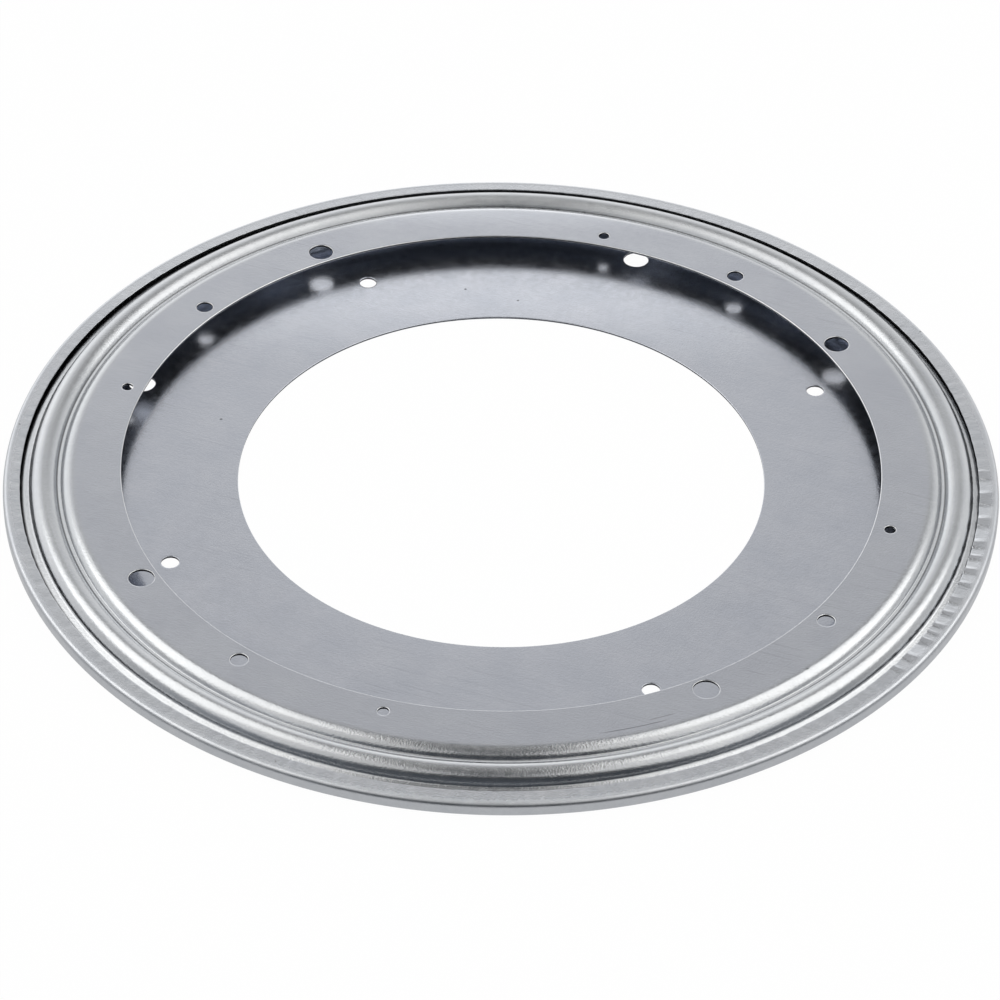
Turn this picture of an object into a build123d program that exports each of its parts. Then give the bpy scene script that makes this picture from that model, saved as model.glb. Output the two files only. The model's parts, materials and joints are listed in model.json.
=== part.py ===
from build123d import *
import os
from math import acos, cos, degrees, pi, radians, sin, tan

# Round lazy susan bearing: two stamped sheet-steel rings with loose balls rolling between them.
# Millimetres, +Z up. The origin is the centre of the lower ring's mounting face, on the plane Z = 0.
# Radii are worked out from the rim inwards, and heights from the balls and the sheet.

# Sheet, balls and race
sheet = 0.8  # thickness of both rings
ball_dia = 5.5
race_play = 0.2  # free space between a ball and each ring
race_ease = 0.75  # how much wider the race is bent than a ball and its play
crest_drop = 0.03  # how far each ring's bead stays behind its mounting face
ball_gap = 0.25  # least free space between two balls
ball_groups = 25  # the balls are kept in this many like groups

# Rim of the lower ring, hemmed over the upper ring's flange
outer_dia = 304.8
rim_base = 0.15  # height of the rim's underside
rim_foot_bend = 0.2  # inside radius where the plate turns up into the rim
rim_top_bend = 0.6  # inside radius where the rim turns in to the lip
lip_width = 5.5  # from the outside of the rim to the lip's edge
lip_gap = 2.0  # open strip between the lip's edge and the foot of the bead

# Flange of the upper ring inside the rim
flange_slope = 15.0  # how steeply the flange falls towards the rim, in degrees
flange_foot = 1.2  # radius between the bead and the flange
flange_under_play = 0.45  # free height under the flange's edge
flange_top_play = 0.54  # free height between the flange and the lip's edge
flange_side_play = 1.1  # free width between the flange and the rim

# Bead, valley and shoulder, alike on both rings
bead_foot = 0.3  # radius between the bead and the sheet beside it
valley_floor = 0.8  # flat strip at the foot of the bead's inner side
shoulder_bend = 4.0  # inside radius of the step down from the mounting flat
shoulder_foot = 0.4  # radius at the bottom of that step
land_gap = 1.5  # free height between the two rings' valleys

# Mounting flats, measured inwards from the shoulder
upper_flat = 14.412
lower_flat = 49.862

# Holes
large_hole_dia = 7.8
medium_hole_dia = 5.3
small_hole_dia = 3.5
upper_hole_inset = 5.3  # from the upper ring's inner edge to its circle of holes
hole_sets = 4  # each kind of hole comes this many times round a ring
screw_hole_dia = 5.5
screw_reach = 8.1  # from the upper ring's inner edge in to the lower ring's screws
access_hole_dia = 8.3  # lets a driver reach the upper holes from below
screw_start = 45.0  # direction of the first screw hole, in degrees from +X
upper_turn = 5.3  # how far the upper ring lies turned from the screw holes


def smooth_step(height, first_radius, second_radius, end_slope=0):
    """Angle and run of a step made of two bends that meet, one turning each way, and end at a slope."""
    reach = first_radius + second_radius
    slope = radians(end_slope)
    angle = acos((first_radius + second_radius * cos(slope) - height) / reach)
    return degrees(angle), reach * sin(angle) - second_radius * sin(slope)


def section_line(start, moves):
    """Line of a sheet's outer face, drawn outwards: (length, 0) is straight, (radius, angle) is a bend."""
    edges = []
    point = Vector(start)
    heading = Vector(1, 0)
    for size, angle in moves:
        if angle == 0:
            edge = Line(point, point + heading * size)
        else:
            edge = JernArc(point, heading, size, angle)
        edges.append(edge)
        point = edge @ 1
        heading = edge % 1
    return Wire(edges)


def stamped_ring(line, sheet_side):
    """Sheet ring: a section line thickened on one side and turned about the Z axis."""
    section = Face(line.offset_2d(sheet, side=sheet_side))
    return revolve(Plane.XZ * section, Axis.Z)


def round_holes(diameter, circle_radius, first_angle):
    """One kind of hole, spaced evenly round a circle, as cutters longer than the bearing is thick."""
    cutter = Cylinder(diameter / 2, 3 * thickness)
    return [place * cutter for place in PolarLocations(circle_radius, hole_sets, first_angle)]


# Radii of the rim and the flange
outer_radius = outer_dia / 2
lip_radius = outer_radius - lip_width
flange_radius = outer_radius - sheet - flange_side_play
foot_radius = lip_radius - lip_gap

# Heights
thickness = ball_dia + 2 * (race_play + sheet + crest_drop)
ball_height = thickness / 2
valley_depth = (thickness - land_gap) / 2 - sheet
fall = tan(radians(flange_slope))
flange_top = rim_base + sheet + flange_under_play + sheet + (flange_radius - foot_radius) * fall
lip_top = flange_top - lip_gap * fall + flange_top_play + sheet

# Bends and steps of the section, as seen on the outer face
bead_radius = ball_dia / 2 + race_play + race_ease + sheet
shoulder_radius = shoulder_bend + sheet
rim_foot_radius = rim_foot_bend + sheet
rim_top_radius = rim_top_bend + sheet
flange_drop = thickness - crest_drop - flange_top
shoulder_angle, shoulder_run = smooth_step(valley_depth, shoulder_radius, shoulder_foot)
inner_angle, inner_run = smooth_step(valley_depth - crest_drop, bead_radius, bead_foot)
flange_angle, flange_run = smooth_step(flange_drop, bead_radius, flange_foot, flange_slope)
base_angle, base_run = smooth_step(rim_base - crest_drop, bead_radius, bead_foot)

# Radii of the race and everything inside it
race_radius = foot_radius - flange_run
shoulder_start = race_radius - inner_run - valley_floor - shoulder_run
upper_bore = shoulder_start - upper_flat
lower_bore = shoulder_start - lower_flat
upper_hole_radius = upper_bore + upper_hole_inset
screw_radius = upper_bore - screw_reach

# Lower ring, from its central hole out to the lip
lower_line = section_line(
    (lower_bore, 0),
    [
        (lower_flat, 0),
        (shoulder_radius, shoulder_angle),
        (shoulder_foot, -shoulder_angle),
        (valley_floor, 0),
        (bead_foot, -inner_angle),
        (bead_radius, inner_angle + base_angle),
        (bead_foot, -base_angle),
        (outer_radius - rim_foot_radius - race_radius - base_run, 0),
        (rim_foot_radius, 90),
        (lip_top - rim_base - rim_foot_radius - rim_top_radius, 0),
        (rim_top_radius, 90),
        (lip_width - rim_top_radius, 0),
    ],
)
half_pitch = 180 / hole_sets
lower_ring = stamped_ring(lower_line, Side.LEFT)
lower_ring -= round_holes(screw_hole_dia, screw_radius, screw_start)
lower_ring -= round_holes(access_hole_dia, upper_hole_radius, screw_start + half_pitch)

# Upper ring, from its inner edge out to the flange
upper_line = section_line(
    (upper_bore, thickness),
    [
        (upper_flat, 0),
        (shoulder_radius, -shoulder_angle),
        (shoulder_foot, shoulder_angle),
        (valley_floor, 0),
        (bead_foot, inner_angle),
        (bead_radius, -inner_angle - flange_angle),
        (flange_foot, flange_angle - flange_slope),
        ((flange_radius - foot_radius) / cos(radians(flange_slope)), 0),
    ],
)
upper_start = screw_start + upper_turn
upper_ring = stamped_ring(upper_line, Side.RIGHT)
upper_ring -= round_holes(large_hole_dia, upper_hole_radius, upper_start)
upper_ring -= round_holes(medium_hole_dia, upper_hole_radius, upper_start + half_pitch / 2)
upper_ring -= round_holes(small_hole_dia, upper_hole_radius, upper_start + half_pitch)

# Balls, evenly spaced round the race in groups of neighbours
balls_per_group = int(2 * pi * race_radius / (ball_dia + ball_gap) / ball_groups)
ball_places = PolarLocations(race_radius, ball_groups * balls_per_group).locations
ball_sets = []
for group in range(ball_groups):
    first = group * balls_per_group
    places = ball_places[first:first + balls_per_group]
    ball_sets.append([Pos(0, 0, ball_height) * place * Sphere(ball_dia / 2) for place in places])

os.makedirs("parts", exist_ok=True)
export_step(lower_ring, "parts/lower_ring.step")
export_step(upper_ring, "parts/upper_ring.step")
for group, balls in enumerate(ball_sets, start=1):
    export_step(Compound(children=balls), f"parts/balls_{group:02d}.step")

print("thickness", round(thickness, 3), "race radius", round(race_radius, 3))
print("bores", round(lower_bore, 3), round(upper_bore, 3), "lip top", round(lip_top, 3))
print("hole circles", round(upper_hole_radius, 3), round(screw_radius, 3))
print("balls", ball_groups * balls_per_group)
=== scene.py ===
# %% [markdown]
# # A lazy susan bearing
# Two stamped rings of galvanised sheet steel turn on each other over loose balls. The lower ring's outer
# edge is hemmed over the upper ring's flange, so the bearing stays in one piece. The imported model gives
# the true places of everything, so it is loaded first and nothing in it is moved.

# %% Load the frame
import json
import random
from math import acos, atan2, cos, degrees, pi, radians, sin, tan

import bmesh
import bpy
from mathutils import Matrix, Vector


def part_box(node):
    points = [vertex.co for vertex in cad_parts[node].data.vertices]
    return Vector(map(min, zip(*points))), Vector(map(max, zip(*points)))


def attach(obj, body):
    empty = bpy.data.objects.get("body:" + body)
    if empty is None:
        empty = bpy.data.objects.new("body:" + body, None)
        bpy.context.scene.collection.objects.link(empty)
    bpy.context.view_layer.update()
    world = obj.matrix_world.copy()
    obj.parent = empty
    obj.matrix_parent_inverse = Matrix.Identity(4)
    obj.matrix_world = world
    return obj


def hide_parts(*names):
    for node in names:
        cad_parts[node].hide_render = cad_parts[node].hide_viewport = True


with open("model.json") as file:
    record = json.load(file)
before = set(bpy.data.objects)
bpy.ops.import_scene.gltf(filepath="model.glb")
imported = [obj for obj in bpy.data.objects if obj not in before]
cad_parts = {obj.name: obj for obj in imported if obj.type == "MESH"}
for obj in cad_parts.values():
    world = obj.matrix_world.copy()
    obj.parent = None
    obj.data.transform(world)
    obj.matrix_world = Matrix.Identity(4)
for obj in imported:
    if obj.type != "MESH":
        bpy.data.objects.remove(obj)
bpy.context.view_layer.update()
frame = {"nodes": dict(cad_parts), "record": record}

# %% [markdown]
# ## Sizes
# Blender works in metres here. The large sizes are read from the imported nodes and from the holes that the
# record lists. The small bends of the stamping aren't in the record, so they are named here.

# %% Sizes of the rings
mm = 0.001
lower_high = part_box("lower_ring")[1]
upper_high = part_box("upper_ring")[1]
hole_sizes = {mount["name"]: mount["dims"] for mount in frame["record"]["mounts"]}

outer_radius = lower_high.x
flange_radius = upper_high.x
thickness = upper_high.z
lip_top = lower_high.z

sheet = 0.8 * mm
crest_drop = 0.03 * mm
rim_base = 0.15 * mm
rim_foot_radius = 0.2 * mm + sheet
rim_top_radius = 0.6 * mm + sheet
lip_width = 5.5 * mm
lip_gap = 2.0 * mm
flange_slope = radians(15)
flange_top = lip_top - sheet - 0.54 * mm + lip_gap * tan(flange_slope)
bead_radius = thickness / 2 - crest_drop + 0.75 * mm
bead_foot = 0.3 * mm
flange_foot = 1.2 * mm
valley_floor = 0.8 * mm
valley_depth = (thickness - 1.5 * mm) / 2 - sheet
shoulder_radius = 4.0 * mm + sheet
shoulder_foot = 0.4 * mm
upper_flat = 14.412 * mm
lower_flat = 49.862 * mm
access_hole_radius = 4.15 * mm
hole_circle = hole_sizes["upper_large_holes"]["pcd_mm"] / 2 * mm
screw_circle = hole_sizes["lower_screw_holes"]["pcd_mm"] / 2 * mm
screw_start = radians(45)
upper_start = radians(50.3)


def smooth_step(height, first_radius, second_radius, slope=0.0):
    """Angle and run of a step made of two bends that meet, one turning each way, and end at a slope."""
    reach = first_radius + second_radius
    angle = acos((first_radius + second_radius * cos(slope) - height) / reach)
    return angle, reach * sin(angle) - second_radius * sin(slope)


shoulder_angle, shoulder_run = smooth_step(valley_depth, shoulder_radius, shoulder_foot)
inner_angle, inner_run = smooth_step(valley_depth - crest_drop, bead_radius, bead_foot)
flange_drop = thickness - crest_drop - flange_top
flange_angle, flange_run = smooth_step(flange_drop, bead_radius, flange_foot, flange_slope)
base_angle, base_run = smooth_step(rim_base - crest_drop, bead_radius, bead_foot)
foot_radius = outer_radius - lip_width - lip_gap
race_radius = foot_radius - flange_run
shoulder_start = race_radius - inner_run - valley_floor - shoulder_run
crease_radius = race_radius - inner_run + 0.1 * mm
upper_bore = shoulder_start - upper_flat
lower_bore = shoulder_start - lower_flat
print("bores", round(lower_bore / mm, 2), round(upper_bore / mm, 2), "race", round(race_radius / mm, 2))

# %% [markdown]
# ## Camera
# The photograph was taken from a little above, with a long lens. The distance, height and roll were found
# by fitting the hole circles and edges, so the render lines up with the photo. The bearing is drawn with
# its screw holes on the diagonals, and the photo looks at it from 20.9 degrees to one side of the front.

# %% Camera at the photograph's angle
photo_turn = radians(20.9)
photo_height = radians(38.74)
photo_roll = 0.013
photo_distance = 1.300
photo_size = 1000
focal_pixels = 4226.6
aim_pixel = (501.2, 473.9)
aim_point = Vector((0, 0, sheet))

to_right = Vector((cos(photo_turn), sin(photo_turn), 0))
to_back = Vector((-sin(photo_turn), cos(photo_turn), 0))
to_camera = Vector((0, 0, sin(photo_height))) - to_back * cos(photo_height)
upright = to_camera.cross(to_right)
right = to_right * cos(photo_roll) + upright * sin(photo_roll)
up = upright * cos(photo_roll) - to_right * sin(photo_roll)

camera_data = bpy.data.cameras.new("photo_camera")
camera_data.sensor_width = 36.0
camera_data.lens = focal_pixels / photo_size * camera_data.sensor_width
camera_data.shift_x = 0.5 - aim_pixel[0] / photo_size
camera_data.shift_y = aim_pixel[1] / photo_size - 0.5
camera_data.clip_end = 20.0
camera = bpy.data.objects.new("photo_camera", camera_data)
turned = Matrix((right, up, to_camera)).transposed().to_4x4()
camera.matrix_world = Matrix.Translation(aim_point + to_camera * photo_distance) @ turned
bpy.context.scene.collection.objects.link(camera)
bpy.context.scene.camera = camera
bpy.context.scene.view_settings.view_transform = "Standard"
print("lens", round(camera_data.lens, 1), "mm")

# %% [markdown]
# ## Shader nodes
# Every finish below is a small tree of texture nodes. These helpers add one node and fill in its inputs,
# with a number where the input is the same all over and a link where a texture drives it.


# %% Helpers for shader nodes
def add_node(tree, kind, inputs=None, **settings):
    """Add a node, set its properties, and set or link the inputs named."""
    made = tree.nodes.new(kind)
    for name, value in settings.items():
        setattr(made, name, value)
    for name, value in (inputs or {}).items():
        if isinstance(value, bpy.types.NodeSocket):
            tree.links.new(value, made.inputs[name])
        else:
            made.inputs[name].default_value = value
    return made


def math(tree, operation, first, second=0.0, third=0.0):
    """One sum on up to three numbers or sockets."""
    return add_node(tree, "ShaderNodeMath", {0: first, 1: second, 2: third}, operation=operation).outputs[0]


def remap(tree, value, from_low, from_high, to_low, to_high):
    """Slide a value smoothly from one range to another, and hold it at the ends."""
    inputs = {"Value": value, 1: from_low, 2: from_high, 3: to_low, 4: to_high}
    return add_node(tree, "ShaderNodeMapRange", inputs, interpolation_type="SMOOTHSTEP").outputs["Result"]


def along(tree, vector, axis):
    """How far a vector reaches along a direction."""
    inputs = {0: vector, 1: axis}
    return add_node(tree, "ShaderNodeVectorMath", inputs, operation="DOT_PRODUCT").outputs["Value"]


def ramp(tree, factor, stops):
    """A colour ramp through the stops given as (place, grey level or colour)."""
    made = add_node(tree, "ShaderNodeValToRGB", {"Fac": factor})
    elements = made.color_ramp.elements
    while len(elements) < len(stops):
        elements.new(1.0)
    for element, (place, level) in zip(elements, stops):
        element.position = place
        colour = level if isinstance(level, tuple) else (level,) * 3
        element.color = (*colour, 1.0)
    return made.outputs["Color"]


def noise(tree, place, scale, detail):
    """A noise texture's value, about 0.3 to 0.7."""
    inputs = {"Vector": place, "Scale": scale, "Detail": detail}
    return add_node(tree, "ShaderNodeTexNoise", inputs).outputs[0]


def vector(tree, operation, first, **inputs):
    """One sum on a vector, with its other inputs by name."""
    return add_node(tree, "ShaderNodeVectorMath", {0: first, **inputs}, operation=operation).outputs


print("shader helpers ready")

# %% [markdown]
# ## Light
# Bare metal shows what surrounds it. In the photo the flats mirror a bright wall behind the bearing, and
# whatever tilts towards the camera mirrors a darker room. So the dome is brightest low down at the back
# and fades upwards, towards the sides and most of all towards the camera.

# %% World dome
world = bpy.data.worlds.new("studio_dome")
bpy.context.scene.world = world
world.use_nodes = True
sky = world.node_tree
sky.nodes.clear()
direction = add_node(sky, "ShaderNodeTexCoord").outputs["Generated"]
height = add_node(sky, "ShaderNodeSeparateXYZ", {"Vector": direction}).outputs["Z"]
backwards = along(sky, direction, tuple(to_back))
sideways = along(sky, direction, tuple(to_right))
wall_stops = [
    (0.0, 1.0),
    (0.2, 0.97),
    (0.42, 0.83),
    (0.544, 0.68),
    (0.582, 0.61),
    (0.626, 0.52),
    (0.673, 0.45),
    (0.766, 0.30),
    (0.875, 0.20),
    (1.0, 0.18),
]
wall = ramp(sky, height, wall_stops)
depth_stops = [
    (0.0, 0.12),
    (0.03, 0.08),
    (0.11, 0.09),
    (0.24, 0.25),
    (0.4, 0.52),
    (0.5, 0.72),
    (0.58, 0.90),
    (0.72, 1.0),
]
depth_place = math(sky, "MULTIPLY_ADD", backwards, 0.5, 0.5)
depth = ramp(sky, depth_place, depth_stops)
side_stops = [
    (0.0, 0.58),
    (0.08, 0.76),
    (0.18, 0.90),
    (0.25, 0.95),
    (0.465, 0.80),
    (0.5, 1.0),
    (0.535, 0.78),
    (0.6, 0.72),
    (0.65, 0.62),
    (0.825, 0.66),
    (1.0, 0.50),
]
side = ramp(sky, math(sky, "MULTIPLY_ADD", sideways, 0.5, 0.5), side_stops)
level = math(sky, "MULTIPLY", math(sky, "MULTIPLY", wall, depth), side)
tint = ramp(sky, depth_place, [(0.1, (0.86, 0.95, 1.08)), (0.5, (1.0, 1.0, 1.0))])
light = add_node(sky, "ShaderNodeVectorMath", {0: tint, "Scale": level}, operation="SCALE").outputs["Vector"]
glow = add_node(sky, "ShaderNodeBackground", {"Color": light, "Strength": 1.5}).outputs["Background"]
add_node(sky, "ShaderNodeOutputWorld", {"Surface": glow})
print("dome made")

# %% [markdown]
# ## Soft boxes
# The bead and the shoulder are long round mirrors, and in the photo each shows two broad glints with a dark
# stripe between them. That is what two soft boxes hung left and right above the bearing look like, so two
# area lamps stand there, and the gap between them keeps the stripe. The shoulder's glints reach farther
# round to the front, so each lamp has a dimmer one before it, nearer to the camera.


# %% Four soft boxes overhead
def soft_box(name, lean_right, lean_back, width, depth, brightness):
    """A large lamp over the bearing, leaning by the two angles from straight above and facing its middle."""
    lamp = bpy.data.lights.new(name, "AREA")
    lamp.shape = "RECTANGLE"
    lamp.size = width
    lamp.size_y = depth
    lamp.energy = brightness * pi * width * depth
    lamp.color = (1.0, 0.985, 0.955)
    toward = to_right * sin(lean_right) + to_back * sin(lean_back)
    toward.z = (1 - toward.length_squared) ** 0.5
    across = to_back.cross(toward).normalized()
    facing = Matrix((across, toward.cross(across), toward)).transposed().to_4x4()
    holder = bpy.data.objects.new(name, lamp)
    holder.matrix_world = Matrix.Translation(toward * 1.5) @ facing
    bpy.context.scene.collection.objects.link(holder)
    return holder


soft_box("left_box", radians(-34), radians(12), 1.18, 1.17, 1.36)
soft_box("right_box", radians(34), radians(11), 1.36, 1.15, 1.47)
soft_box("left_front_box", radians(-29), radians(-25), 1.20, 0.78, 0.70)
soft_box("right_front_box", radians(30), radians(-26), 1.24, 0.80, 0.90)
print("soft boxes", [light.name for light in bpy.data.lights])

# %% [markdown]
# ## Floor
# The bearing lies on white paper. The paper is plain white to the camera and in the metal's reflections,
# and a small share of it stays matt, so that it still takes a soft shadow.

# %% White paper
floor_mesh = bpy.data.meshes.new("floor")
floor_shape = bmesh.new()
bmesh.ops.create_grid(floor_shape, x_segments=1, y_segments=1, size=6.0)
floor_shape.to_mesh(floor_mesh)
floor_shape.free()
floor = bpy.data.objects.new("floor", floor_mesh)
bpy.context.scene.collection.objects.link(floor)

paper = bpy.data.materials.new("white_paper")
paper.use_nodes = True
tree = paper.node_tree
tree.nodes.clear()
rays = add_node(tree, "ShaderNodeLightPath").outputs
seen = math(tree, "MAXIMUM", rays["Is Camera Ray"], rays["Is Glossy Ray"])
seen = math(tree, "MAXIMUM", seen, rays["Is Transmission Ray"])
share = math(tree, "MULTIPLY", seen, 0.98)
matt = add_node(tree, "ShaderNodeBsdfDiffuse", {"Color": (0.9, 0.9, 0.9, 1.0)}).outputs[0]
bright = add_node(tree, "ShaderNodeEmission", {"Color": (1.0, 1.0, 1.0, 1.0), "Strength": 1.0}).outputs[0]
mixed = add_node(tree, "ShaderNodeMixShader", {"Fac": share, 1: matt, 2: bright}).outputs[0]
add_node(tree, "ShaderNodeOutputMaterial", {"Surface": mixed})
floor_mesh.materials.append(paper)
print("floor made")

# %% [markdown]
# ## Marks on the metal
# A stamped part is handled before it is sold. These helpers give a number that is one on unmarked metal
# and less on a mark: tiny dark specks from a sparse cell texture, a line round one radius, a scuff along a
# short arc, and fine straight scratches from a noise that is drawn out one way. The line round one radius
# also draws a line of painted shade and a line of painted highlight.


# %% Specks, painted lines, scuffs and scratches
def dark_specks(tree, place):
    """A few tiny specks, each where a cell's random colour is high."""
    cells = add_node(tree, "ShaderNodeTexVoronoi", {"Vector": place, "Scale": 110.0}).outputs
    chosen = add_node(tree, "ShaderNodeSeparateColor", {"Color": cells["Color"]}).outputs[0]
    size = remap(tree, chosen, 0.75, 1.0, 0.0, 0.045)
    near = math(tree, "SUBTRACT", cells["Distance"], size)
    return remap(tree, near, -0.01, 0.015, 0.45, 1.0)


def dark_line(tree, radius, middle, half_width, darkness):
    """A line all the way round at one radius."""
    apart = math(tree, "ABSOLUTE", math(tree, "SUBTRACT", radius, middle))
    return remap(tree, apart, half_width * 0.4, half_width, 1 - darkness, 1.0)


def scuff(tree, place, radius, middle, turn, half_turn, darkness):
    """A thin dark line along part of a circle, fading at both ends."""
    towards = along(tree, place, (cos(turn), sin(turn), 0))
    facing = math(tree, "DIVIDE", towards, radius)
    fade = remap(tree, facing, cos(half_turn), cos(half_turn * 0.5), 0.0, 1.0)
    dark = math(tree, "SUBTRACT", 1.0, dark_line(tree, radius, middle, 0.22 * mm, darkness))
    return math(tree, "SUBTRACT", 1.0, math(tree, "MULTIPLY", dark, fade))


def scratches(tree, place, turn, share):
    """Fine straight scratches one way: the peaks of a noise drawn out into hairlines, where it is scuffed."""
    stretch = {"Vector": place, "Rotation": (0, 0, turn), "Scale": (0.02, 1.0, 1.0)}
    drawn = add_node(tree, "ShaderNodeMapping", stretch).outputs[0]
    hair = noise(tree, drawn, 1500.0, 1.0)
    worn = remap(tree, noise(tree, place, 25.0, 2.0), 0.45, 0.65, 0.0, share)
    return math(tree, "SUBTRACT", 1.0, math(tree, "MULTIPLY", remap(tree, hair, 0.66, 0.74, 0.0, 1.0), worn))


print("marks ready")

# %% [markdown]
# ## Galvanised finish
# Zinc plating is a satin metal with a soft cloudy tone and a very fine grain. Broad noise shifts the tone,
# stretched noise adds faint rolling streaks, finer noise moves the roughness, and the grain is a slight bump.
# The drawn metal is tinted a touch warmer than the flats, a painted warmth for its warm glints. The hem is
# painted a little lighter, and painted shade darkens the flange under the lip and the rim's outer wall. Both
# flats are painted lighter away from the camera, and there the upper ring's bead is duller. A dark line of
# painted shade runs in the crease at the bead's inner foot, with a painted highlight line beside it.

# %% Zones of the finish
back_zone = (30 * mm, 110 * mm)
drawn_zone = (129.5 * mm, 132.5 * mm)
valley_zone = (133.5 * mm, 136.5 * mm)
bead_zone = (134.5 * mm, 137 * mm)
hem_zone = (145 * mm, 147 * mm)
rim_zone = (149.5 * mm, 151.5 * mm)
# Painted light: a warm tint for the warm glints on the drawn metal.
warm_glint_tint = (1.0, 0.993, 0.953)
print("zones from", drawn_zone[0], "to", rim_zone[1])


# %% Zinc material
def start_finish(name):
    """A new material with an empty tree, and where the point lies on the object."""
    material = bpy.data.materials.new(name)
    material.use_nodes = True
    tree = material.node_tree
    tree.nodes.clear()
    return material, tree, add_node(tree, "ShaderNodeTexCoord").outputs["Object"]


def zinc(name, dark, light, shift, scuffs, rough_range, dull_back, painted_back_light, shade):
    """Satin zinc plating between two tones, with the scuffs given as (radius, turn, half turn, darkness)."""
    material, tree, place = start_finish(name)
    level_place = add_node(tree, "ShaderNodeMapping", {"Vector": place, "Scale": (1, 1, 0)}).outputs[0]
    radius = vector(tree, "LENGTH", level_place)["Value"]
    away = along(tree, place, tuple(to_back))
    moved = add_node(tree, "ShaderNodeMapping", {"Vector": place, "Location": (shift, shift, 0)}).outputs[0]
    stretch = {"Vector": moved, "Rotation": (0, 0, 0.5), "Scale": (0.08, 1.0, 1.0)}
    rolled = add_node(tree, "ShaderNodeMapping", stretch).outputs[0]
    grain = noise(tree, moved, 1700.0, 3.0)
    clouds = math(tree, "MULTIPLY_ADD", noise(tree, rolled, 900.0, 3.0), 0.35, noise(tree, moved, 70.0, 5.0))
    tone = ramp(tree, clouds, [(0.45, dark), (0.9, light)])
    # Painted light: the tone is raised towards the back, away from the camera, and less beyond the valley.
    lighter = math(tree, "SUBTRACT", remap(tree, away, *painted_back_light), 1.0)
    flat = remap(tree, radius, *valley_zone, 1.0, 0.25)
    # Real marks together with painted light and painted shade, all multiplied into the tone.
    marks = [
        dark_specks(tree, moved),
        scratches(tree, moved, 0.35, 0.10),
        scratches(tree, moved, -0.9, 0.07),
        # Painted shade: a dark line in the crease at the bead's inner foot.
        dark_line(tree, radius, crease_radius, 0.25 * mm, 0.6),
        # Painted highlight: a lighter line just inside the crease, in the valley.
        dark_line(tree, radius, crease_radius - 0.6 * mm, 0.45 * mm, -0.4),
        # Painted light towards the back.
        math(tree, "MULTIPLY_ADD", lighter, flat, 1.0),
        # Painted shade by radius: under the lip on the upper ring, on the rim's outer wall on the lower.
        remap(tree, radius, *shade),
        # Painted light: the hem is a little lighter.
        remap(tree, radius, *hem_zone, 1.0, 1.07),
        remap(tree, grain, 0.3, 0.7, 0.98, 1.02),
    ]
    marks += [scuff(tree, place, radius, *line) for line in scuffs]
    # Painted sheen on the lip's tongues and painted shade in its creases, read from the mesh layer.
    painted_sheen_and_shade = add_node(tree, "ShaderNodeAttribute", attribute_name="painted_sheen_and_shade").outputs["Fac"]
    wear_and_painted_light = math(tree, "MULTIPLY_ADD", painted_sheen_and_shade, 0.2, 1.0)
    for mark in marks:
        wear_and_painted_light = math(tree, "MULTIPLY", wear_and_painted_light, mark)
    tone = vector(tree, "SCALE", tone, Scale=wear_and_painted_light)["Vector"]
    # Painted light: the drawn metal is tinted warmer, for its warm glints.
    drawn = remap(tree, radius, *drawn_zone, 0.0, 1.0)
    tints = {"Factor": drawn, "A": (1, 1, 1), "B": warm_glint_tint}
    warm = add_node(tree, "ShaderNodeMix", tints, data_type="VECTOR").outputs[1]
    tone = add_node(tree, "ShaderNodeVectorMath", {0: tone, 1: warm}, operation="MULTIPLY").outputs[0]
    at_back = remap(tree, away, *back_zone, 0.0, dull_back)
    on_bead = remap(tree, radius, *bead_zone, 0.0, 1.0)
    rough = remap(tree, noise(tree, moved, 420.0, 4.0), 0.3, 0.7, *rough_range)
    rough = math(tree, "MULTIPLY_ADD", at_back, on_bead, rough)
    rough = math(tree, "ADD", rough, remap(tree, radius, *rim_zone, 0.0, 0.16))
    depth = math(tree, "MULTIPLY_ADD", drawn, 0.2, 0.2)
    bumps = {"Height": grain, "Strength": depth, "Distance": 0.14 * mm}
    bump = add_node(tree, "ShaderNodeBump", bumps).outputs[0]
    inputs = {"Base Color": tone, "Metallic": 1.0, "Roughness": rough, "Normal": bump}
    surface = add_node(tree, "ShaderNodeBsdfPrincipled", inputs).outputs["BSDF"]
    add_node(tree, "ShaderNodeOutputMaterial", {"Surface": surface})
    return material


upper_scuffs = [
    (128.6 * mm, radians(287.5) + photo_turn, radians(5), 0.45),
    (126.9 * mm, radians(291.5) + photo_turn, radians(2), 0.30),
]
even = (0.0, 1.0, 1.0, 1.0)
# Painted light: how much lighter each ring is painted towards the back, away from the camera.
upper_painted_light = (117 * mm, 135 * mm, 1.0, 1.27)
lower_painted_light = (50 * mm, 95 * mm, 1.0, 1.3)
# Painted shade: the upper ring's flange under the lip is darkened.
painted_lip_shade = (145.9 * mm, 146.7 * mm, 1.0, 0.12)
# Painted shade: the lower rim's outer wall is darkened.
painted_wall_shade = (151.6 * mm, 152.2 * mm, 1.0, 0.67)
upper_tones = ((0.55, 0.57, 0.62), (0.595, 0.615, 0.66))
lower_tones = ((0.565, 0.59, 0.65), (0.615, 0.635, 0.69))
ball_tones = ((0.60, 0.60, 0.61), (0.70, 0.70, 0.71))
upper_zinc = zinc("upper_zinc", *upper_tones, 0.0, upper_scuffs, (0.19, 0.25), 0.12, upper_painted_light, painted_lip_shade)
lower_zinc = zinc("lower_zinc", *lower_tones, 4.0, [], (0.19, 0.27), 0.0, lower_painted_light, painted_wall_shade)
ball_steel = zinc("ball_steel", *ball_tones, 7.0, [], (0.12, 0.18), 0.0, even, even)
print("finishes", upper_zinc.name, lower_zinc.name, ball_steel.name)

# %% [markdown]
# ## Sheared edges
# Where the press cut the sheet, the plating is gone and the torn steel is dull. Its near-black tone is partly
# painted shade, for the shadowed hole walls and the dark gap under the lip. The short walls of the holes and
# the rings' edges get this finish, with the fine upright streaks that shearing leaves. The upper ring's tiny
# rounds get a light zinc, a painted highlight along its corners.


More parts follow.
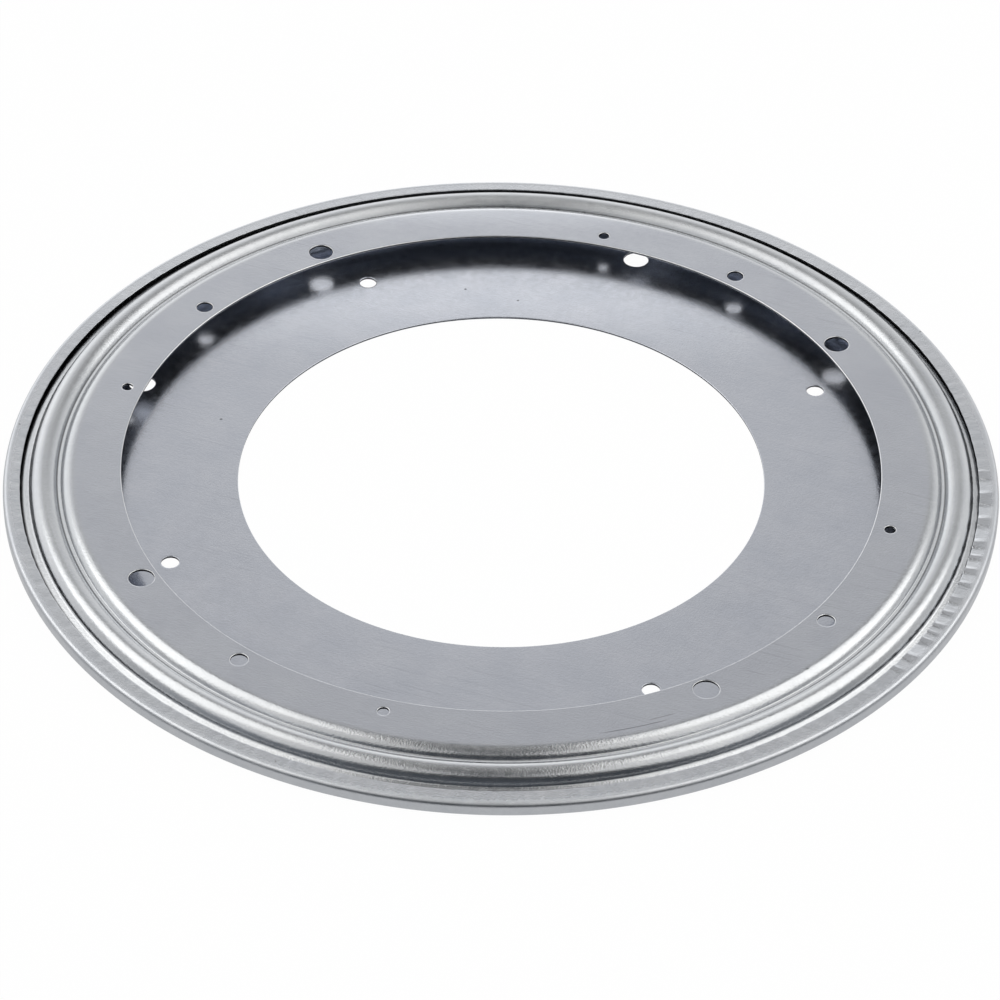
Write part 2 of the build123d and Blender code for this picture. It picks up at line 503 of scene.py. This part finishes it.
# %% Sheared steel material
def sheared():
    """Dull steel, near black as partly painted shade, with fine upright streaks."""
    material, tree, place = start_finish("sheared_steel_and_shade")
    place = add_node(tree, "ShaderNodeMapping", {"Vector": place, "Scale": (1.0, 1.0, 0.1)}).outputs["Vector"]
    streaks = noise(tree, place, 3000.0, 2.0)
    # Near-black tones: bare steel, darkened further as painted shade for holes and gaps.
    tone = ramp(tree, streaks, [(0.3, (0.025, 0.026, 0.028)), (0.7, (0.065, 0.066, 0.07))])
    rough = remap(tree, streaks, 0.3, 0.7, 0.40, 0.55)
    inputs = {"Base Color": tone, "Metallic": 1.0, "Roughness": rough}
    surface = add_node(tree, "ShaderNodeBsdfPrincipled", inputs).outputs["BSDF"]
    add_node(tree, "ShaderNodeOutputMaterial", {"Surface": surface})
    return material


sheared_steel_and_shade = sheared()
# Painted highlight: a light zinc for the upper ring's edge rounds.
highlight_tones = ((0.82, 0.83, 0.85), (0.94, 0.95, 0.96))
painted_highlight_edge = zinc("painted_highlight_edge", *highlight_tones, 2.0, [], (0.19, 0.27), 0.0, even, even)
print("finishes", sheared_steel_and_shade.name, painted_highlight_edge.name)

# %% [markdown]
# ## Section lines
# A stamped ring has one section all the way round, so it can be drawn once and spun. The section is the
# line of the sheet's outer face, drawn as a tinsmith would bend it: extrude makes a straight run and spin
# makes a bend of a given radius and angle.


# %% Drawing a section
def draw_section(start, moves):
    """Line drawn outwards in the XZ plane: (length, 0, steps) is straight, (radius, angle, steps) a bend."""
    section = bmesh.new()
    tip = section.verts.new((start[0], 0, start[1]))
    heading = 0.0
    for size, angle, steps in moves:
        if angle == 0:
            for _ in range(steps):
                tip = bmesh.ops.extrude_vert_indiv(section, verts=[tip])["verts"][0]
                step = Vector((cos(heading), 0, sin(heading))) * size / steps
                bmesh.ops.translate(section, verts=[tip], vec=step)
        else:
            turn = 1 if angle > 0 else -1
            centre = tip.co + Vector((-sin(heading), 0, cos(heading))) * size * turn
            bent = bmesh.ops.spin(section, geom=[tip], cent=centre, axis=(0, -1, 0), angle=angle, steps=steps)
            tip = [piece for piece in bent["geom_last"] if isinstance(piece, bmesh.types.BMVert)][0]
            heading += angle
    return section


def spin_round(section, start_angle, steps):
    """Turn the section through a full circle about the bearing's axis."""
    turn = Matrix.Rotation(start_angle, 3, "Z")
    bmesh.ops.rotate(section, verts=section.verts[:], cent=(0, 0, 0), matrix=turn)
    line = section.verts[:] + section.edges[:]
    whole = {"axis": (0, 0, 1), "angle": 2 * pi, "use_merge": True}
    bmesh.ops.spin(section, geom=line, cent=(0, 0, 0), steps=steps, **whole)
    return section


print("section helpers ready")

# %% [markdown]
# ## Punched holes
# The press punches each hole straight through the flat. Here a small window of faces is taken out of the
# flat, and its edge is extruded and drawn in to a circle a little larger than the hole. A second extrusion
# brings it to the hole's own size, so the edge round later has a narrow flat band and shades cleanly.

# %% Punching a hole
hole_band = 0.5 * mm


def punch(ring, circle, angle, radius, height, half_width, half_angle):
    """Cut a round hole in the flat of a spun ring, before the sheet gets its thickness."""
    window = []
    for face in ring.faces:
        middle = face.calc_center_median()
        swing = (atan2(middle.y, middle.x) - angle + pi) % (2 * pi) - pi
        beside = abs(middle.xy.length - circle) < half_width and abs(swing) < half_angle
        if beside and abs(middle.z - height) < 0.1 * mm:
            window.append(face)
    inside = set(window)
    edges = dict.fromkeys(edge for face in window for edge in face.edges)
    border = [edge for edge in edges if sum(face in inside for face in edge.link_faces) == 1]
    bmesh.ops.delete(ring, geom=window, context="FACES")
    centre = Vector((circle * cos(angle), circle * sin(angle), height))
    for size in (radius + hole_band, radius):
        grown = bmesh.ops.extrude_edge_only(ring, edges=border)["geom"]
        for vert in grown:
            if isinstance(vert, bmesh.types.BMVert):
                vert.co = centre + (vert.co - centre).normalized() * size
        edges = [edge for edge in grown if isinstance(edge, bmesh.types.BMEdge)]
        border = [edge for edge in edges if len(edge.link_faces) == 1]
    return len(border)


print("punch ready")

# %% [markdown]
# ## From a skin to a sheet
# Both rings are the same gauge of sheet. The spun skin is the outer face, so solidify adds the thickness
# on its inner side. The walls between the two faces are where the press sheared the sheet, and every corner
# there gets a tiny round, which is what catches the light. The round is wider on a ring's inner edge.

# %% Thickness, edges and object
zinc_slot = 0
sheared_slot = 1
highlight_slot = 2
bore_round = 0.2 * mm
hole_round = 0.13 * mm


def sharp_edges(ring):
    """The corners left by shearing, where two faces meet at more than 50 degrees."""
    return [edge for edge in ring.edges if edge.calc_face_angle(0) > radians(50)]


def finish_sheet(ring, name, outward, finish, edge_slot, body, node):
    """Give a spun skin its thickness and edge rounds, and put it in the scene in place of a node."""
    bmesh.ops.recalc_face_normals(ring, faces=ring.faces[:])
    ring.normal_update()
    lead = max(ring.faces, key=lambda face: face.calc_area())
    if lead.normal.z * outward < 0:
        bmesh.ops.reverse_faces(ring, faces=ring.faces[:])
    bmesh.ops.solidify(ring, geom=ring.faces[:], thickness=sheet)
    ring.normal_update()
    for edge in sharp_edges(ring):
        for face in edge.link_faces:
            if abs(face.normal.z) < 0.5:
                face.material_index = sheared_slot
    for bore_only, offset in ((True, bore_round), (False, hole_round)):
        sharp = sharp_edges(ring)
        if bore_only:
            inner = min(vert.co.xy.length for vert in ring.verts) + 0.1 * mm
            sharp = [edge for edge in sharp if edge.verts[0].co.xy.length < inner]
        rounds = bmesh.ops.bevel(
            ring,
            geom=sharp,
            offset=offset,
            offset_type="OFFSET",
            affect="EDGES",
            segments=2,
            profile=0.5,
            material=-1,
        )
        ring.normal_update()
        # On the upper ring the rounds take the painted highlight finish; the lower ring's keep its zinc.
        for face in rounds["faces"]:
            face.material_index = edge_slot
    for face in ring.faces:
        face.smooth = True
    mesh = bpy.data.meshes.new(name)
    ring.to_mesh(mesh)
    ring.free()
    mesh.materials.append(finish)
    mesh.materials.append(sheared_steel_and_shade)
    mesh.materials.append(painted_highlight_edge)
    made = bpy.data.objects.new(name, mesh)
    bpy.context.scene.collection.objects.link(made)
    made.modifiers.new("even_normals", "WEIGHTED_NORMAL")
    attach(made, body)
    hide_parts(node)
    triangles = sum(len(polygon.vertices) - 2 for polygon in mesh.polygons)
    print(name, len(mesh.polygons), "faces", triangles, "triangles")


# %% [markdown]
# ## Upper ring
# The upper ring carries the turning tray. From its inner edge it is a flat with twelve holes, a soft
# shoulder, a narrow valley, the half-round bead that the balls run in, and a flange that lies under the
# lower ring's lip.

# %% Upper ring
hole_half = 5.0 * mm
inner_margin = hole_circle - hole_half - upper_bore
outer_margin = upper_flat - inner_margin - 2 * hole_half
upper_ring = draw_section(
    (upper_bore, thickness),
    [
        (inner_margin, 0, 1),
        (2 * hole_half, 0, 6),
        (outer_margin, 0, 4),
        (shoulder_radius, -shoulder_angle, 10),
        (shoulder_foot, shoulder_angle, 6),
        (valley_floor, 0, 2),
        (bead_foot, inner_angle, 5),
        (bead_radius, -inner_angle - flange_angle, 24),
        (flange_foot, flange_angle - flange_slope, 8),
        ((flange_radius - foot_radius) / cos(flange_slope), 0, 4),
    ],
)
upper_steps = 480
spin_round(upper_ring, upper_start, upper_steps)
upper_window = 2.7 * 2 * pi / upper_steps
for quarter in range(4):
    for place, name in enumerate(("upper_large_holes", "upper_medium_holes", "upper_small_holes")):
        angle = upper_start + radians(90 * quarter + 22.5 * place)
        radius = hole_sizes[name]["hole_r_mm"] * mm
        punch(upper_ring, hole_circle, angle, radius, thickness, hole_half, upper_window)
finish_sheet(upper_ring, "upper_stamping", 1, upper_zinc, highlight_slot, "upper", "upper_ring")

# %% [markdown]
# ## Lower ring
# The lower ring is the wide plate that is screwed down. Its section mirrors the upper one as far as the
# groove for the balls, and then runs out to the rim, which turns up and in over the flange. The rolled rim
# stands a hair higher than the lip beside it, so the bend goes a little past level and eases back.

# %% Lower ring
screw_half = 4.0 * mm
first_margin = screw_circle - screw_half - lower_bore
middle_margin = hole_circle - hole_half - screw_circle - screw_half
last_margin = lower_bore + lower_flat - hole_circle - hole_half
ease_angle = radians(5)
ease_radius = 7.0 * mm
lip_flat = lip_width - rim_top_radius - (rim_top_radius + ease_radius) * sin(ease_angle)
lower_ring = draw_section(
    (lower_bore, 0),
    [
        (first_margin, 0, 3),
        (2 * screw_half, 0, 4),
        (middle_margin, 0, 1),
        (2 * hole_half, 0, 4),
        (last_margin, 0, 1),
        (shoulder_radius, shoulder_angle, 3),
        (shoulder_foot, -shoulder_angle, 2),
        (valley_floor, 0, 1),
        (bead_foot, -inner_angle, 2),
        (bead_radius, inner_angle + base_angle, 5),
        (bead_foot, -base_angle, 1),
        (outer_radius - rim_foot_radius - race_radius - base_run, 0, 1),
        (rim_foot_radius, radians(90), 5),
        (lip_top - rim_base - rim_foot_radius - rim_top_radius, 0, 1),
        (rim_top_radius, radians(90) + ease_angle, 10),
        (ease_radius, -ease_angle, 2),
        (lip_flat, 0, 9),
    ],
)
lower_steps = 600
spin_round(lower_ring, screw_start, lower_steps)
lower_window = 3.7 * 2 * pi / lower_steps
screw_radius = hole_sizes["lower_screw_holes"]["hole_r_mm"] * mm
for quarter in range(4):
    angle = screw_start + radians(90 * quarter)
    punch(lower_ring, screw_circle, angle, screw_radius, 0, screw_half, lower_window)
    punch(lower_ring, hole_circle, angle + radians(45), access_hole_radius, 0, hole_half, lower_window)
print("lower skin", len(lower_ring.faces), "faces")

# %% [markdown]
# ## Crimped lip
# The lip was rolled inwards, so its edge had to shrink, and it did so unevenly. On the right of the photo
# it lies in little pressed tongues with creases between them, its edge runs a little off centre, and all
# round there are faint radial ripples. The lip's faces are divided finely and their points are moved.

# %% Pressed tongues and the lip's edge
lip_rows = {"inner": outer_radius - lip_width, "outer": outer_radius - rim_top_radius}
tongue_end = outer_radius - 1.55 * mm
crimped = (320.8, 360.0)
wedge_rise = 0.42
tongue_dip = 0.25 * mm
least_room = 0.01
edge_shift = -0.05 * mm
edge_sway = 0.6 * mm
edge_sway_angle = radians(135) + photo_turn
pressed = [
    (321.5, 323.3, 0.5),
    (324.2, 327.0, 1.0),
    (327.7, 328.8, 0.5),
    (329.2, 330.2, 0.4),
    (330.7, 332.7, 0.8),
    (333.2, 335.0, 0.8),
    (336.0, 338.4, 0.4),
    (338.8, 340.8, 0.8),
    (341.5, 343.4, 0.9),
    (344.0, 345.6, 0.8),
    (346.6, 349.8, 0.9),
    (351.0, 353.8, 0.8),
    (355.7, 358.6, 0.7),
]
chance = random.Random(12)
ripple = 2.0
while ripple < 318:
    width = chance.uniform(0.5, 1.4)
    pressed.append((ripple, ripple + width, chance.uniform(0.04, 0.22)))
    ripple += width + chance.uniform(0.2, 1.6)
jags = []
for _ in range(14):
    jags.append((chance.randint(60, 260), chance.uniform(0, 2 * pi), chance.uniform(0.005, 0.025) * mm))


def press(turn, radius):
    """How far the lip is lifted at one place, and its painted sheen there: above zero on tongues, below in
    creases.
    """
    outward = (radius - lip_rows["inner"]) / (tongue_end - lip_rows["inner"])
    if outward >= 1:
        return 0.0, 0.0
    outward = max(0.0, outward)
    for start, end, strength in pressed:
        if start <= turn <= end:
            across = abs(2 * turn - start - end) / (end - start)
            room = min(1 - 0.25 * outward - across, 1 - outward)
            if room > least_room:
                return -strength * (1 - outward) * min(1.0, room * 2.5), strength * min(1.0, room * 5)
    if crimped[0] < turn < crimped[1]:
        return wedge_rise * (1 - outward), -0.75 * (1 - outward ** 4)
    return 0.0, 0.0


def photo_degrees(place):
    """Where a point lies round the ring, in degrees from the photo's right."""
    return degrees(atan2(place.y, place.x) - photo_turn) % 360


def on_lip(vert):
    """Whether a point of the skin lies on the flat of the lip."""
    return vert.co.z > lip_top - 0.3 * mm and vert.co.xy.length < lip_rows["outer"] - 0.1 * mm


lip_edges = {True: [], False: []}
for edge in lower_ring.edges:
    ends = [vert.co.xy.length for vert in edge.verts]
    if all(on_lip(vert) for vert in edge.verts) and abs(ends[0] - ends[1]) < 0.05 * mm:
        middle = edge.verts[0].co + edge.verts[1].co
        lip_edges[photo_degrees(middle) > crimped[0] - 1].append(edge)
for fine, edges in lip_edges.items():
    bmesh.ops.subdivide_edges(lower_ring, edges=edges, cuts=5 if fine else 1, use_grid_fill=True)
lip_depth = lip_rows["outer"] - lip_rows["inner"]
# A mesh layer for the painted sheen on the tongues and ripples and the painted shade in the creases.
painted_sheen_and_shade = lower_ring.verts.layers.float.new("painted_sheen_and_shade")
lip_verts = [vert for vert in lower_ring.verts if on_lip(vert)]
for vert in lip_verts:
    radius = vert.co.xy.length
    angle = atan2(vert.co.y, vert.co.x)
    lift, vert[painted_sheen_and_shade] = press(photo_degrees(vert.co), radius)
    move = edge_shift + edge_sway * cos(angle - edge_sway_angle)
    jagged = sum(size * sin(count * angle + phase) for count, phase, size in jags)
    move += jagged * (0.6 - 0.4 * sin(angle - photo_turn))
    vert.co.xy *= 1 + move * (lip_rows["outer"] - radius) / lip_depth / radius
    vert.co.z += lift * tongue_dip
print("lip points", len(lip_verts), "tongues and ripples", len(pressed))
finish_sheet(lower_ring, "lower_stamping", -1, lower_zinc, zinc_slot, "lower", "lower_ring")

# %% [markdown]
# ## Balls
# The balls are sealed in the race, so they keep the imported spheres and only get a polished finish.

# %% Ball finish
ball_nodes = [node for node in frame["nodes"] if node.startswith("balls_")]
for node in ball_nodes:
    node_mesh = frame["nodes"][node].data
    node_mesh.materials.clear()
    node_mesh.materials.append(ball_steel)
print("ball groups", len(ball_nodes))
